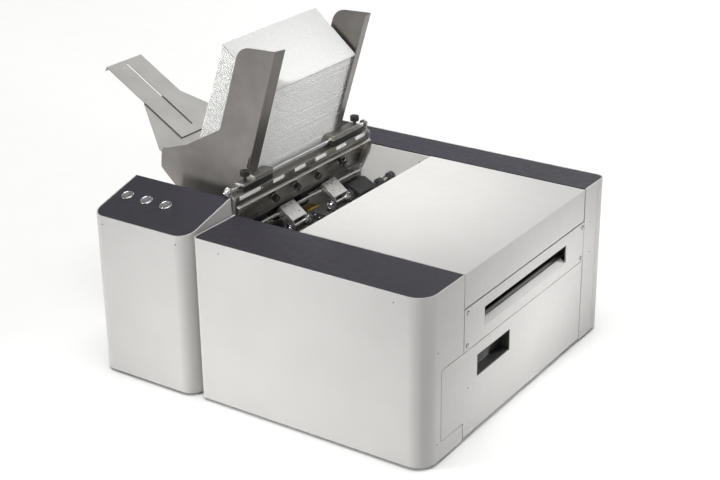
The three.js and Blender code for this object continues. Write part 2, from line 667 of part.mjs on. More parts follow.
rocker.rotation.x = THREE.MathUtils.degToRad(-7);

place(machine, 'module_shell', moduleShell(), WHITE());
const slopingTop = new THREE.Group();
slopingTop.position.set(0, MODULE_FRONT, MODULE_FRONT_H);
slopingTop.rotation.x = MODULE_SLOPE;
machine.add(slopingTop);
place(slopingTop, 'control_panel', controlPanel(), SLATE());
place(slopingTop, 'button_carrier', buttonCarrier(), BRIGHT());
['stop', 'feed', 'start'].forEach((name, i) => {
  place(slopingTop, `${name}_button`, buttonCap(BUTTON.x[i]), BRIGHT());
});
place(machine, 'feed_motor', feedMotor(), BLACK());
place(machine, 'control_board', controlBoard(), BOARD());

place(machine, 'front_frame', sideFrame(FRAME_Y[0], FRAME_Y[0] + FRAME_T - 0.5, 344), WHITE());
place(machine, 'rear_frame', sideFrame(FRAME_Y[1], FRAME_Y[1] - 6, 317), WHITE());
place(machine, 'transport_deck', transportDeck(), STEEL());
place(machine, 'transport_roller', transportRoller(), RUBBER());
place(machine, 'feed_roller', feedRoller(), RUBBER());
place(machine, 'exit_roller', exitRoller(), RUBBER());
place(machine, 'pinch_pivot_shaft', barY(PIVOT.x, PIVOT.z, PIVOT.r, 126.3, 574), BRIGHT());
for (const [where, y] of Object.entries(BRACKETS)) {
  place(machine, `${where}_pinch_bracket`, pinchBracket(y), ALU());
  place(machine, `${where}_pinch_rollers`, pinchRollers(y), RUBBER());
}

place(machine, 'crossbar', crossbar(), STEEL());
place(machine, 'guide_rod', guideRod(), BRIGHT());
place(machine, 'ruler_strip', rulerStrip(), ALU());
place(machine, 'near_carrier', carrier(158, 247), ALU());
place(machine, 'far_carrier', carrier(447, 548), ALU());
place(machine, 'near_clamp_knob', clampKnob(174), BLACK());
place(machine, 'far_clamp_knob', clampKnob(536), BLACK());
place(machine, 'near_side_guide', nearGuide(), STEEL());
place(machine, 'far_side_guide', mirrored(nearGuide()), STEEL());
place(machine, 'hopper_floor', hopperFloor(), STEEL());
const tray = place(machine, 'support_tray', supportTray(), STEEL());
tray.position.set(BEND.x, 0, BEND.z);
tray.rotation.y = TRAY_SLOPE;
place(machine, 'envelope_stack', envelopeStack(), PAPER());

const gate = new THREE.Group();
gate.position.set(
  GATE_TOP.x - GATE_L * Math.sin(GATE_LEAN), 0, GATE_TOP.z - GATE_L * Math.cos(GATE_LEAN));
gate.rotation.y = GATE_LEAN;
machine.add(gate);
place(gate, 'gate_plate', gatePlate(), DARK_STEEL());
SEPARATOR_Y.forEach((y, i) => {
  place(gate, `separator_${i + 1}`, separator(y), STEEL());
  place(gate, `separator_knob_${i + 1}`, separatorKnob(y), BLACK());
});
place(gate, 'star_knob', starKnob(), BLACK());

place(machine, 'print_head', printHead(), BLACK());
place(machine, 'ink_tank_rack', inkTankRack(), BLACK());
place(machine, 'power_supply', powerSupply(), STEEL());

const part = new THREE.Group();
part.add(machine);
part.updateMatrixWorld(true);
const bounds = new THREE.Box3().setFromObject(machine, true);
const middle = bounds.getCenter(new THREE.Vector3());
machine.position.set(-middle.x, -middle.y, -bounds.min.z);
part.updateMatrixWorld(true);

export default part;
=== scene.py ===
# %% [markdown]
# # A tabletop franking machine
# The machine feeds envelopes from a leaning stainless hopper, under a pair of sprung pinch
# rollers, past a print head under the lid, and out through a slot in its right-hand side.
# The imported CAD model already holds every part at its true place, so this lesson only adds
# what the eye needs: rounded edges, turned and moulded small parts, finishes and light.

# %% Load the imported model
import json
import math
import random

import bmesh
import bpy
from mathutils import Matrix, Vector


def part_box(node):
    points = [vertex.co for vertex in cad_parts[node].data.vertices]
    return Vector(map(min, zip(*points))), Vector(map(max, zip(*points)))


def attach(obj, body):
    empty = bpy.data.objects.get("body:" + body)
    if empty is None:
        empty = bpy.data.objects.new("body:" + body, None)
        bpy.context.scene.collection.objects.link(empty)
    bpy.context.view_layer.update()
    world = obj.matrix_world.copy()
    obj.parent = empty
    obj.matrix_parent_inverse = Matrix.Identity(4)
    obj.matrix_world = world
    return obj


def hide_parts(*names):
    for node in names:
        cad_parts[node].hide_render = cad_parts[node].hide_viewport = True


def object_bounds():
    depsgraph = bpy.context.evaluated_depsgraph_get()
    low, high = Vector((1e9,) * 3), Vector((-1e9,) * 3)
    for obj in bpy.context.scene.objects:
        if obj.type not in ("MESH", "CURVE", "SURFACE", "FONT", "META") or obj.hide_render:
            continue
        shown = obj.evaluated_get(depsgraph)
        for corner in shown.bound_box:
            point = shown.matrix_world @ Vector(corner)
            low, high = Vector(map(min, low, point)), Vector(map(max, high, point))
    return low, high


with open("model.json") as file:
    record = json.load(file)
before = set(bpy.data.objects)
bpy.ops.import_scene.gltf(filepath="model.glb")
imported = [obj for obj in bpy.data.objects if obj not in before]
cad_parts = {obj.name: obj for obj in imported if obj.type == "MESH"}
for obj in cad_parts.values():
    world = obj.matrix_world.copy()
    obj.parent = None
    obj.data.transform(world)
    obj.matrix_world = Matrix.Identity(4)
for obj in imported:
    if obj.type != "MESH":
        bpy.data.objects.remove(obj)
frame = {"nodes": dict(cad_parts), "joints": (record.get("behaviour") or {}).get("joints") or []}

cad_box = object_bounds()
print("CAD box", [round(v, 4) for corner in cad_box for v in corner])

# %% [markdown]
# ## One drawing frame in millimetres
# A machine like this is drawn from the corner where the front meets the delivery side, at the
# lower edge of the covers. The front cover's box gives that corner, so places can be written
# in millimetres from it and turned to metres by one function.

# %% Drawing frame
MM = 0.001
cover_low, cover_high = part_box("front_cover")
CORNER = Vector((cover_high.x, cover_low.y, cover_low.z))


def at(x, y, z):
    """A point of the drawing, in millimetres, as a point of the model in metres."""
    return CORNER + Vector((x, y, z)) * MM


def box_mm(node):
    """The lowest and highest corner of a CAD node, in the drawing's millimetres."""
    low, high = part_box(node)
    return (low - CORNER) / MM, (high - CORNER) / MM


def middle_mm(node):
    low, high = box_mm(node)
    return (low + high) / 2


print("covers", [round(v) for corner in box_mm("front_cover") for v in corner])

# %% [markdown]
# ## Camera
# A product is usually shown from a little above and from the corner, with a long lens, so that
# upright edges stay nearly parallel. The camera stands about 2.5 m away with a 76.6 mm lens on
# a 36 mm sensor, is turned 34 degrees to the right and looks 24 degrees down.

# %% Camera
AZIMUTH = math.radians(34.05)
ELEVATION = math.radians(23.68)
ROLL = math.radians(-0.688)
CAMERA_PLACE = (1148.1, -1886.8, 1398.0)         # in the drawing's millimetres

back = Vector((
    math.sin(AZIMUTH) * math.cos(ELEVATION),
    -math.cos(AZIMUTH) * math.cos(ELEVATION),
    math.sin(ELEVATION),
))
right = Vector((math.cos(AZIMUTH), math.sin(AZIMUTH), 0))
up = back.cross(right)
tilted_right = right * math.cos(ROLL) + up * math.sin(ROLL)
tilted_up = up * math.cos(ROLL) - right * math.sin(ROLL)

camera_data = bpy.data.cameras.new("camera")
camera_data.sensor_width = 36
camera_data.lens = 76.55
camera = bpy.data.objects.new("camera", camera_data)
camera.matrix_world = Matrix.Translation(at(*CAMERA_PLACE)) @ Matrix((
    tilted_right, tilted_up, back)).transposed().to_4x4()
bpy.context.scene.collection.objects.link(camera)
bpy.context.scene.camera = camera
print("camera", [round(v, 3) for v in camera.location])

# %% [markdown]
# ## Light
# A wide sheet of light overhead lights the top and the pale floor, and the floor throws soft
# light back into the sides. A wide spot rakes the front from the left, and a narrow one rakes
# the delivery side from the rear, so the round corner between them turns darker and shows its
# radius. Two more narrow spots reach the envelopes' edges and down into the feeder, which the
# hopper leaves in shadow.

# %% Light


def place_light(data, place, target):
    light = bpy.data.objects.new(data.name, data)
    light.location = place
    light.rotation_euler = (Vector(target) - Vector(place)).to_track_quat("-Z", "Y").to_euler()
    bpy.context.scene.collection.objects.link(light)
    return light


def soft_box(name, place, target, width, power):
    """A square area light that faces the target."""
    data = bpy.data.lights.new(name, "AREA")
    data.shape = "SQUARE"
    data.size = width
    data.energy = power
    return place_light(data, place, target)


def soft_spot(name, direction, target, distance, cone, power, bulb=0.3):
    """A spot whose pool of light fades all the way to its rim."""
    data = bpy.data.lights.new(name, "SPOT")
    data.spot_size = math.radians(cone)
    data.spot_blend = 1.0
    data.shadow_soft_size = bulb
    data.energy = power
    return place_light(data, target + Vector(direction).normalized() * distance, target)


MACHINE_MIDDLE = (cad_box[0] + cad_box[1]) / 2
ABOVE = Vector((0.15, -0.25, 3))
REAR_CORNER = (0.2, 3.6, 3.0)
WHITE = (1, 1, 1, 1)
overhead = bpy.data.lights.new("overhead_sheet", "SUN")
overhead.energy = 2.3
overhead.angle = math.radians(45)
place_light(overhead, MACHINE_MIDDLE + ABOVE, MACHINE_MIDDLE)
soft_box("rear_box", REAR_CORNER, MACHINE_MIDDLE, 3.4, 42)
soft_spot("front_spot", (-0.7, -0.7, 0.2), at(-260, 0, 50), 2.6, 26, 295)
soft_spot("door_spot", (0.55, 0.83, 0.2), at(0, 385, 130), 2.6, 9.5, 440, 0.12)
soft_spot("feeder_spot", (0.3, -0.65, 0.75), at(-415, 550, 262), 3.0, 10, 1200)
soft_spot("stack_spot", (0.9, -0.35, 0.3), at(-480, 350, 440), 3.0, 13, 135)

world = bpy.data.worlds.new("studio")
world.use_nodes = True
background = world.node_tree.nodes["Background"]
background.inputs["Color"].default_value = WHITE
background.inputs["Strength"].default_value = 0.26
bpy.context.scene.world = world
bpy.context.scene.view_settings.view_transform = "Standard"
print(len(bpy.data.lights), "lights")

# %% [markdown]
# ## Colour and node helpers
# Colours are written as the sRGB hex values a paint maker would give, and one function turns
# them to the linear light that a shader works in. One more function adds a node with its
# settings, its values and its links, so that a finish reads as a list of what feeds what.

# %% Colour and node helpers


def linear(hex_colour):
    """sRGB hex to linear red, green, blue and alpha."""
    values = [int(hex_colour[i:i + 2], 16) / 255 for i in (1, 3, 5)]
    return [*(v / 12.92 if v <= 0.04045 else ((v + 0.055) / 1.055) ** 2.4 for v in values), 1.0]


def add(tree, kind, inputs=None, **settings):
    """Adds a node. An input given as another node's socket is linked, a value is just set."""
    node = tree.nodes.new("ShaderNode" + kind)
    for setting, value in settings.items():
        setattr(node, setting, value)
    for socket, value in (inputs or {}).items():
        if isinstance(value, bpy.types.NodeSocket):
            tree.links.new(value, node.inputs[socket])
        else:
            node.inputs[socket].default_value = value
    return node


def start_finish(name, roughness, metallic=0.0, ior=1.45):
    """A new material with its shader, and a place in millimetres for its patterns."""
    material = bpy.data.materials.new(name)
    material.use_nodes = True
    tree = material.node_tree
    shader = tree.nodes["Principled BSDF"]
    shader.inputs["Roughness"].default_value = roughness
    shader.inputs["Metallic"].default_value = metallic
    if not metallic:
        shader.inputs["IOR"].default_value = ior
    return material, tree, shader


def millimetres(tree, grain=None, stretch=1.0):
    """Object coordinates in millimetres, drawn out by stretch along the grain's axis."""
    scale = [1000.0, 1000.0, 1000.0]
    if grain:
        scale["XYZ".index(grain)] /= stretch
    place = add(tree, "TexCoord").outputs["Object"]
    return add(tree, "Mapping", {"Vector": place, "Scale": scale}).outputs["Vector"]


def noise(tree, place, size, detail=3.0):
    """Noise whose blotches are about size millimetres wide."""
    node = add(tree, "TexNoise", {"Vector": place, "Scale": 1 / size, "Detail": detail})
    return node.outputs["Fac"]


def between(tree, factor, low, high, spread=(0.35, 0.65)):
    """Turns noise into values from low to high."""
    node = add(tree, "MapRange", {
        "Value": factor, "From Min": spread[0], "From Max": spread[1],
        "To Min": low, "To Max": high})
    return node.outputs["Result"]


def tint(tree, factor, first, second, spread=(0.35, 0.65)):
    """Mixes two hex colours by a factor."""
    share = between(tree, factor, 0, 1, spread)
    ramp = add(tree, "ValToRGB", {"Fac": share})
    ramp.color_ramp.elements[0].color = linear(first)
    ramp.color_ramp.elements[1].color = linear(second)
    return ramp.outputs["Color"]


def relief(tree, shader, height, depth):
    """Bump whose full height is depth millimetres."""
    bump = add(tree, "Bump", {"Height": height, "Distance": depth * MM, "Strength": 1.0})
    tree.links.new(bump.outputs["Normal"], shader.inputs["Normal"])


# %% [markdown]
# ## Powder coat and satin coat
# The covers are folded steel, powder coated warm light grey. Powder melts into a skin with a
# faint orange peel about a millimetre and a half across, so its gloss is broken up a little.
# The dark strips are a smoother satin coat, and fine dust gives them their bloom.

# %% Coats


def coat(name, first, second, roughness, peel_size, peel_depth):
    material, tree, shader = start_finish(name, roughness, ior=1.5)
    place = millimetres(tree)
    cloud = noise(tree, place, 90, 4)
    tree.links.new(tint(tree, cloud, first, second), shader.inputs["Base Color"])
    gloss = between(tree, noise(tree, place, 14, 4), roughness - 0.05, roughness + 0.06)
    tree.links.new(gloss, shader.inputs["Roughness"])
    relief(tree, shader, noise(tree, place, peel_size, 2), peel_depth)
    return material


powder_coat = coat("powder_coated_steel", "#B0AFAD", "#B3B2B0", 0.46, 1.6, 0.02)
slate_coat = coat("slate_satin_coat", "#26242C", "#2A2830", 0.46, 1.0, 0.012)
black_enamel = coat("black_enamel", "#101012", "#18181A", 0.35, 1.2, 0.01)

# %% [markdown]
# ## Stainless, aluminium and polished steel
# The hopper's blades are brushed stainless: fine scratches a few tenths of a millimetre apart
# run the length of the sheet and spread its highlights across them. They are drawn 0.7 mm
# apart, which is as fine as shows. The blades get a darker copy of the stainless, which is
# painted shade, and the hopper floor a lighter copy, which is painted reflection. Ground
# shafts are smooth, and blasted aluminium is matt.

# %% Bare metals


GLOSS_SPREAD = 0.06              # how far the scratches change the roughness


def brushed(name, first, second, roughness, grain, line=0.7):
    material, tree, shader = start_finish(name, roughness, metallic=1.0)
    lines = noise(tree, millimetres(tree, grain, 70), line, 4)
    cloud = noise(tree, millimetres(tree), 45, 3)
    tree.links.new(tint(tree, cloud, first, second), shader.inputs["Base Color"])
    gloss = between(tree, lines, roughness - GLOSS_SPREAD, roughness + GLOSS_SPREAD)
    tree.links.new(gloss, shader.inputs["Roughness"])
    relief(tree, shader, lines, 0.005)
    return material


def blasted(name, first, second, roughness):
    material, tree, shader = start_finish(name, roughness, metallic=1.0)
    place = millimetres(tree)
    tree.links.new(tint(tree, noise(tree, place, 12), first, second), shader.inputs["Base Color"])
    relief(tree, shader, noise(tree, place, 0.5, 2), 0.02)
    return material


def galvanised(name):
    """Zinc spangle: flat crystals some 9 mm across, each with its own gloss."""
    material, tree, shader = start_finish(name, 0.45, metallic=1.0)
    cells = add(tree, "TexVoronoi", {"Vector": millimetres(tree), "Scale": 1 / 9})
    shade = add(tree, "SeparateColor", {"Color": cells.outputs["Color"]}).outputs["Red"]
    tree.links.new(tint(tree, shade, "#8F9192", "#B3B5B6", (0, 1)), shader.inputs["Base Color"])
    tree.links.new(between(tree, shade, 0.35, 0.6, (0, 1)), shader.inputs["Roughness"])
    return material


# The blades and ledges get a darker copy of the stainless as painted shade; the hopper floor, tray
# and deck get a lighter copy as painted reflection.
stainless_painted_shade = brushed("brushed_stainless", "#7C7976", "#84817E", 0.4, "Z")
stainless_painted_reflection = brushed("hopper_floor_painted_reflection", "#A3A19E", "#ABA9A6", 0.36, "X")
bar_steel = brushed("milled_steel_bar", "#A5A29E", "#BAB8B4", 0.32, "Y")
gate_steel = brushed("dark_brushed_stainless", "#908D88", "#A09D98", 0.33, "Y")
# A lighter copy of the gate's stainless for its lip: a painted highlight along the fold.
lip_steel_painted_highlight = brushed("gate_lip_painted_highlight", "#C4C2BE", "#CECCC8", 0.3, "Y")
polished_steel = brushed("ground_polished_steel", "#D2D2D2", "#DEDEDE", 0.16, "Y", 0.4)
turned_steel = brushed("turned_stainless", "#C9C9C9", "#D8D8D8", 0.24, "X", 0.5)
blasted_aluminium = blasted("bead_blasted_aluminium", "#C8C6C3", "#D4D2D0", 0.5)
carrier_aluminium = blasted("milled_anodised_aluminium", "#9C9A96", "#A8A6A2", 0.42)
zinc_sheet = galvanised("galvanised_sheet")

# %% [markdown]
# ## Plastics, rubber and paper
# Knobs are moulded ABS with the fine spark texture of their mould. Feed wheels are ground
# rubber, which has tiny lines around the tread. Envelopes are uncoated paper: matt, nearly
# white, with a cloudy look where the fibres bunch.

# %% Plastics, rubber and paper


def moulded(name, first, second, roughness):
    material, tree, shader = start_finish(name, roughness, ior=1.5)
    place = millimetres(tree)
    tree.links.new(tint(tree, noise(tree, place, 6), first, second), shader.inputs["Base Color"])
    tree.links.new(
        between(tree, noise(tree, place, 3), roughness - 0.06, roughness + 0.06),
        shader.inputs["Roughness"])
    relief(tree, shader, noise(tree, place, 0.6, 2), 0.025)
    return material


def ground_rubber(name, first, second, roughness=0.72):
    material, tree, shader = start_finish(name, roughness, ior=1.52)
    lines = noise(tree, millimetres(tree, "X", 8), 0.7, 3)
    tree.links.new(tint(tree, lines, first, second), shader.inputs["Base Color"])
    relief(tree, shader, lines, 0.04)
    return material


def paper(name, first, second):
    material, tree, shader = start_finish(name, 0.85, ior=1.5)
    place = millimetres(tree)
    shader.inputs["Subsurface Weight"].default_value = 0.05
    tree.links.new(
        tint(tree, noise(tree, place, 5, 5), first, second), shader.inputs["Base Color"])
    relief(tree, shader, noise(tree, place, 0.9, 4), 0.012)
    return material


black_moulding = moulded("black_moulded_abs", "#121212", "#1C1C1C", 0.45)
cup_moulding = moulded("charcoal_moulded_abs", "#302E2F", "#3A3839", 0.5)
black_rubber = ground_rubber("ground_black_rubber", "#1B1B1E", "#2C2C30")
grey_rubber = ground_rubber("ground_grey_rubber", "#868684", "#989896")
foot_rubber = ground_rubber("moulded_foot_rubber", "#0E0E0E", "#191919", 0.8)
envelope_paper = paper("uncoated_envelope_paper", "#E3E2E0", "#EBEAE8")
# A greyer copy of the envelope paper for the top envelope: painted shade on its face.
top_paper_painted_shade = paper("envelope_paper_painted_shade", "#B4B3B2", "#BBBAB9")
amber_polyimide = moulded("amber_polyimide_film", "#8A6A1E", "#9A7828", 0.35)

# %% [markdown]
# ## Circuit board
# The board behind the module is glass epoxy under green solder mask, with black chips and a
# row of sockets on its front. They stand in front of the board, so the colour changes to black
# where the front of the part is reached, and copper tracks show as slightly lighter steps.

# %% Circuit board


def board_finish(name, board_front_mm):
    material, tree, shader = start_finish(name, 0.4, ior=1.55)
    place = millimetres(tree)
    tracks = add(tree, "TexBrick", {
        "Vector": add(tree, "Mapping", {
            "Vector": place, "Rotation": (math.radians(90), 0, 0)}).outputs["Vector"],
        "Scale": 0.12, "Color1": linear("#17553A"), "Color2": linear("#1B6142"),
        "Mortar": linear("#2A7A52"), "Mortar Size": 0.02})
    depth = add(tree, "SeparateXYZ", {"Vector": place}).outputs["Y"]
    is_chip = add(tree, "Math", {0: depth, 1: board_front_mm}, operation="LESS_THAN")
    colour = add(tree, "Mix", {
        "Factor": is_chip.outputs["Value"], "A": tracks.outputs["Color"],
        "B": linear("#141516")}, data_type="RGBA")
    tree.links.new(colour.outputs["Result"], shader.inputs["Base Color"])
    return material


BOARD_T = 2.1
board_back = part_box("control_board")[1].y / MM
circuit_board = board_finish("solder_masked_board", board_back - BOARD_T)
print(len(bpy.data.materials), "finishes")

# %% [markdown]
# ## Finishing the CAD parts
# The CAD solids have the right shape but knife edges, which no folded or moulded part has.
# Modifiers mend that without touching the mesh: Weld joins the corners, a planar Decimate
# merges the triangles of each flat side, Bevel rounds the edges, and normals weighted by area
# keep the flats flat. The list gives each node its finish and its edge radius in millimetres.

# %% Finish the CAD parts


def round_edges(thing, radius_mm):
    weld = thing.modifiers.new("weld", "WELD")
    weld.merge_threshold = 0.01 * MM
    flat = thing.modifiers.new("merge_flats", "DECIMATE")
    flat.decimate_type = "DISSOLVE"
    flat.angle_limit = math.radians(0.8)
    bevel = thing.modifiers.new("edges", "BEVEL")
    bevel.width = radius_mm * MM
    bevel.segments = 2
    bevel.limit_method = "ANGLE"
    bevel.angle_limit = math.radians(30)
    bevel.use_clamp_overlap = True
    bevel.harden_normals = True
    flatten = thing.modifiers.new("flat_sides", "WEIGHTED_NORMAL")
    flatten.weight = 100
    thing.data.polygons.foreach_set("use_smooth", [True] * len(thing.data.polygons))


CAD_FINISH = {
    powder_coat: (0.7, [
        "front_cover", "rear_cover", "back_panel", "output_panel", "lid", "side_door",
        "module_shell", "front_frame", "rear_frame"]),
    slate_coat: (0.5, ["front_top_plate", "rear_top_plate", "control_panel"]),
    cup_moulding: (0.8, ["door_pull_cup"]),
    stainless_painted_shade: (0.4, ["near_side_guide", "far_side_guide"]),
    stainless_painted_reflection: (0.4, ["hopper_floor", "support_tray", "transport_deck"]),
    bar_steel: (0.4, ["separator_1", "separator_2", "separator_3"]),
    polished_steel: (0.3, ["guide_rod", "pinch_pivot_shaft", "lid_hinge_pin", "door_hinge_pin"]),
    blasted_aluminium: (0.5, ["near_pinch_bracket", "far_pinch_bracket"]),
    zinc_sheet: (0.3, ["base_pan", "power_supply"]),
    black_moulding: (0.5, ["power_inlet", "power_rocker", "print_head", "ink_tank_rack"]),
    black_enamel: (0.6, ["feed_motor"]),
    black_rubber: (0.4, ["transport_roller", "feed_roller"]),
    grey_rubber: (0.3, ["exit_roller"]),
    foot_rubber: (1.0, ["foot_front_left", "foot_front_right", "foot_rear_left",
                        "foot_rear_right"]),
    circuit_board: (0.2, ["control_board"]),
}


def dress(node, material):
    thing = frame["nodes"][node]
    thing.data.materials.clear()
    thing.data.materials.append(material)
    return thing


for material, (radius, node_names) in CAD_FINISH.items():
    for node in node_names:
        round_edges(dress(node, material), radius)
print(sum(len(names) for radius, names in CAD_FINISH.values()), "CAD parts finished")

# %% [markdown]
# ## Helpers for new pieces
# Small parts are made the way a shop makes them. A turned part is a profile spun round an
# axis; a lobed grip is the same with its radius pushed in between the fingers' places. A plate
# is a flat outline with holes, which a filled curve extrudes and bevels in one go.

# %% Helpers for new pieces
X, Y, Z = Vector((1, 0, 0)), Vector((0, 1, 0)), Vector((0, 0, 1))


def new_piece(name, mesh, material, body, stands_for=(), sharp=35):
    """Puts a finished mesh on a body, with its finish."""
    thing = bpy.data.objects.new(name, mesh)
    bpy.context.scene.collection.objects.link(thing)
    mesh.materials.append(material)
    mesh.shade_smooth()
    mesh.set_sharp_from_angle(angle=math.radians(sharp))
    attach(thing, body)
    if stands_for:
        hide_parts(*stands_for)
    return thing


def facing(centre, axis):
    """A placement whose Z is axis, and whose X is as near to the model's X as it can be."""
    z = Vector(axis).normalized()
    y = z.cross(X if abs(z.x) < 0.9 else Y).normalized()
    x = y.cross(z)
    turn = Matrix((x, y, z)).transposed().to_4x4()
    return Matrix.Translation(centre) @ turn


ARC_STEP = 0.2                   # radians between two points of a rounded corner


def rounded(corners):
    """Points of a closed outline; a corner given as (x, y, radius) becomes an arc."""
    points = []
    for i, corner in enumerate(corners):
        here = Vector(corner[:2])
        radius = corner[2] if len(corner) > 2 else 0
        if not radius:
            points.append(here)
            continue
        before = (Vector(corners[i - 1][:2]) - here).normalized()
        after = (Vector(corners[(i + 1) % len(corners)][:2]) - here).normalized()
        half = math.acos(max(-1, min(1, before.dot(after)))) / 2
        centre = here + (before + after).normalized() * radius / math.sin(half)
        start = here + before * radius / math.tan(half) - centre
        end = here + after * radius / math.tan(half) - centre
        turn = math.atan2(start.x * end.y - start.y * end.x, start.dot(end))
        count = max(2, math.ceil(abs(turn) / ARC_STEP))
        for k in range(count + 1):
            angle = turn * k / count
            points.append(centre + Matrix.Rotation(angle, 2) @ start)
    return points


def spun(profile, segments=48, lobes=0, scallop=0.0):
    """Spins (radius, height) points in millimetres; a lobed grip is pushed in between lobes."""
    build = bmesh.new()
    largest = max(radius for radius, height in profile)
    rings = []
    for radius, height in profile:
        if radius < 1e-6:
            rings.append([build.verts.new((0, 0, height * MM))])
            continue
        ring = []
        for k in range(segments):
            angle = 2 * math.pi * k / segments
            inward = scallop * (0.5 - 0.5 * math.cos(lobes * angle)) * (radius / largest) ** 2
            reach = (radius - inward) * MM
            ring.append(build.verts.new((
                reach * math.cos(angle), reach * math.sin(angle), height * MM)))
        rings.append(ring)
    pairs = list(zip(rings, rings[1:]))
    if len(rings[0]) > 1:
        pairs.append((rings[-1], rings[0]))
    for low, high in pairs:
        for k in range(segments):
            corners = [low[k % len(low)], low[(k + 1) % len(low)],
                       high[(k + 1) % len(high)], high[k % len(high)]]
            build.faces.new(dict.fromkeys(corners))
    bmesh.ops.recalc_face_normals(build, faces=build.faces)
    mesh = bpy.data.meshes.new("spun")
    build.to_mesh(mesh)
    build.free()
    return mesh


def plate_mesh(outline, holes, thickness, edge=0.3):
    """A plate with rounded edges from (x, y) outlines in millimetres; z from 0 to thickness."""
    curve = bpy.data.curves.new("plate", "CURVE")
    curve.dimensions = "2D"
    curve.fill_mode = "BOTH"
    curve.extrude = (thickness / 2 - edge) * MM
    curve.bevel_depth = edge * MM
    curve.offset = -edge * MM
    curve.bevel_resolution = 1
    for points in [outline, *holes]:
        spline = curve.splines.new("POLY")
        spline.points.add(len(points) - 1)
        for point, (x, y) in zip(spline.points, points):
            point.co = (x * MM, y * MM, 0, 1)
        spline.use_cyclic_u = True
    holder = bpy.data.objects.new("plate", curve)
    mesh = bpy.data.meshes.new_from_object(holder)
    bpy.data.objects.remove(holder)
    mesh.transform(Matrix.Translation((0, 0, thickness / 2 * MM)))
    welded = bmesh.new()
    welded.from_mesh(mesh)
    bmesh.ops.remove_doubles(welded, verts=welded.verts, dist=1e-6)
    welded.to_mesh(mesh)
    welded.free()
    mesh.materials.clear()
    return mesh


def joined(*meshes):
    """Several meshes as one."""
    build = bmesh.new()
    for mesh in meshes:
        build.from_mesh(mesh)
    together = bpy.data.meshes.new("joined")
    build.to_mesh(together)
    build.free()
    return together


def placed(mesh, placement):
    copy = mesh.copy()
    copy.transform(placement)
    return copy


def facing_x(x_mm):
    """Plates drawn with (y, z) in the drawing's millimetres, growing towards +X from x_mm."""
    return Matrix.Translation(at(x_mm, 0, 0)) @ Matrix((
        (0, 0, 1, 0), (1, 0, 0, 0), (0, 1, 0, 0), (0, 0, 0, 1)))


def box_outline(low_a, high_a, low_b, high_b, radius=0.0):
    return rounded([(low_a, low_b, radius), (high_a, low_b, radius),
                    (high_a, high_b, radius), (low_a, high_b, radius)])


def circle(x, y, radius):
    angles = [math.radians(360 * k / 28) for k in range(28)]
    return [(x + radius * math.cos(a), y + radius * math.sin(a)) for a in angles]


def sideways(y_mm):
    """Plates drawn with (x, z) in the drawing's millimetres, growing towards -Y from y_mm."""
    return Matrix.Translation(at(0, y_mm, 0)) @ Matrix.Rotation(math.radians(90), 4, "X")


def rod(radius, length):
    """Half profile of a plain round bar that starts at height 0, with broken edges."""
    edge = 0.4
    return [(0, 0), (radius - edge, 0), (radius, edge), (radius, length - edge),
            (radius - edge, length), (0, length)]


def screw_mesh(head_r, height):
    """A domed socket screw: a spun dome with a round recess."""
    dome = [(head_r * math.sin(a), height * math.cos(a)) for a in
            [math.radians(18 * k) for k in range(1, 6)]]
    socket = head_r * 0.42
    profile = [(0, height * 0.35), (socket, height * 0.35), (socket, height * 0.93), *dome, (0, 0)]
    return spun(profile, 36)


def fastened(name, spots, axis, head_r, height, material, body):
    """Copies of one screw at several points in millimetres, as one piece."""
    shape = screw_mesh(head_r, height)
    copies = [placed(shape, facing(at(*spot), axis)) for spot in spots]
    return new_piece(name, joined(*copies), material, body)


# %% [markdown]
# ## The load of envelopes
# A filled envelope is about 3.5 mm thick, and some seventy of them lean back in the hopper.
# Each is a flat pocket that is thicker in its middle than at its folded edges, and no two lie
# quite in line, so the near end of the load looks stepped. They lie along the hopper floor at
# the bottom and steeper at the top, so every envelope's place is blended between the two. The
# one on top is given a greyer copy of the envelope paper, which is painted shade on its face.

# %% Envelopes
draw = random.Random(41)
stack_low, stack_high = box_mm("envelope_stack")
floor_lead, floor_tail = Vector((-544.2, 270.6)), Vector((-660.5, 322.6))
top_lead, top_tail = Vector((-465.0, 530.4)), Vector((-560.3, 612.0))
ENVELOPE_COUNT = 70
PAPER_SHARE = 0.95               # of each envelope's pitch; the rest is air
SET_BACK = 0.6                   # leading edges behind the face of the CAD block
PROUD, PROUD_SHARE = 0.3, 0.2    # one envelope in five stands out a little
SKEW = 0.5                       # most that an end lies short of the load's side


def add_envelope(build, share, next_share):
    lead, tail = floor_lead.lerp(top_lead, share), floor_tail.lerp(top_tail, share)
    lead_over = floor_lead.lerp(top_lead, next_share)
    tail_over = floor_tail.lerp(top_tail, next_share)
    proud = PROUD if draw.random() < PROUD_SHARE else 0.0
    slip = (tail - lead).normalized() * (SET_BACK - proud - draw.uniform(0.0, 0.08))
    lead_up, tail_up = (lead_over - lead) * PAPER_SHARE, (tail_over - tail) * PAPER_SHARE
    low_y = stack_low.y + draw.uniform(0.0, SKEW)
    high_y = stack_high.y - draw.uniform(0.0, SKEW)
    sections = []
    for y, puff in ((low_y, 0.55), (low_y + 9, 0.9), (low_y + 40, 1.0), (high_y - 40, 1.0),
                    (high_y - 9, 0.9), (high_y, 0.55)):
        ring = []
        for along, height in ((0.0, 0.5), (0.004, 0.8), (0.05, 0.98), (0.5, 1.0), (0.95, 0.98),
                              (0.996, 0.8), (1.0, 0.5), (0.996, 0.2), (0.95, 0.02), (0.5, 0.0),
                              (0.05, 0.02), (0.004, 0.2)):
            foot = lead.lerp(tail, along) + slip
            rise = lead_up.lerp(tail_up, along)
            spot = foot + rise * (0.5 + (height - 0.5) * puff)
            ring.append(build.verts.new(at(spot.x, y, spot.y)))
        sections.append(ring)
    count = len(sections[0])
    for first, second in zip(sections, sections[1:]):
        for k in range(count):
            build.faces.new((first[k], first[(k + 1) % count],
                             second[(k + 1) % count], second[k]))
    build.faces.new(sections[0])
    build.faces.new(reversed(sections[-1]))


